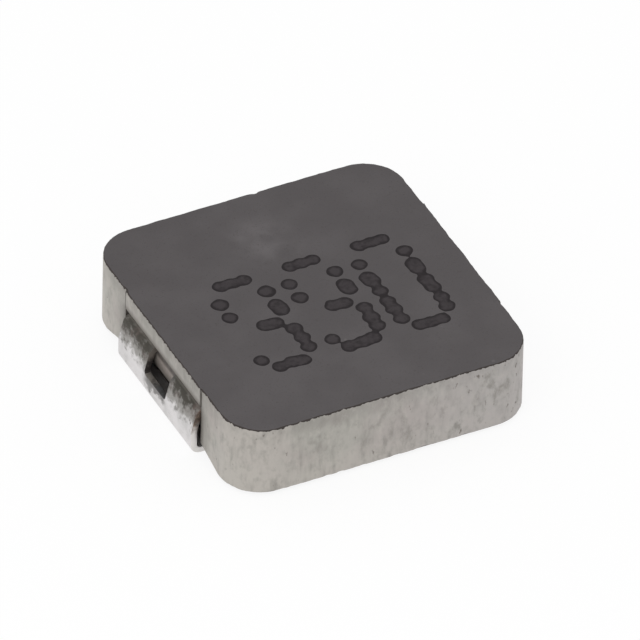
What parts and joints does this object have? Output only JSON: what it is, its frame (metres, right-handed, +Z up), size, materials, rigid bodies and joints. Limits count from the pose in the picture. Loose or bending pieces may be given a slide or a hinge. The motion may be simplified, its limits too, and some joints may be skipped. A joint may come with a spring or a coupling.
{
  "type": "shielded smd inductor",
  "caption": "Low rounded-square power inductor of pressed iron powder, with folded tinned leads that end in solder feet under two opposite sides.",
  "frame": {"origin": "centre of the footprint, on the plane that the solder feet stand on", "axes": "+Z up through the marked top face; the two leads are on -X and +X, and +Y runs along the leads' width"},
  "size_m": [0.0066, 0.0066, 0.0016],
  "materials": {
    "pressed_powder": "matte pressed iron powder, lighter and burnished on the sides",
    "copper_wire": "enamelled flat copper wire",
    "tinned_copper": "matte tin plating on copper strip, with bare copper at the cut edges"
  },
  "bodies": {
    "root": {"moulded_body": "pressed_powder", "coil": "copper_wire", "terminal_left": "tinned_copper", "terminal_right": "tinned_copper"}
  },
  "joints": []
}
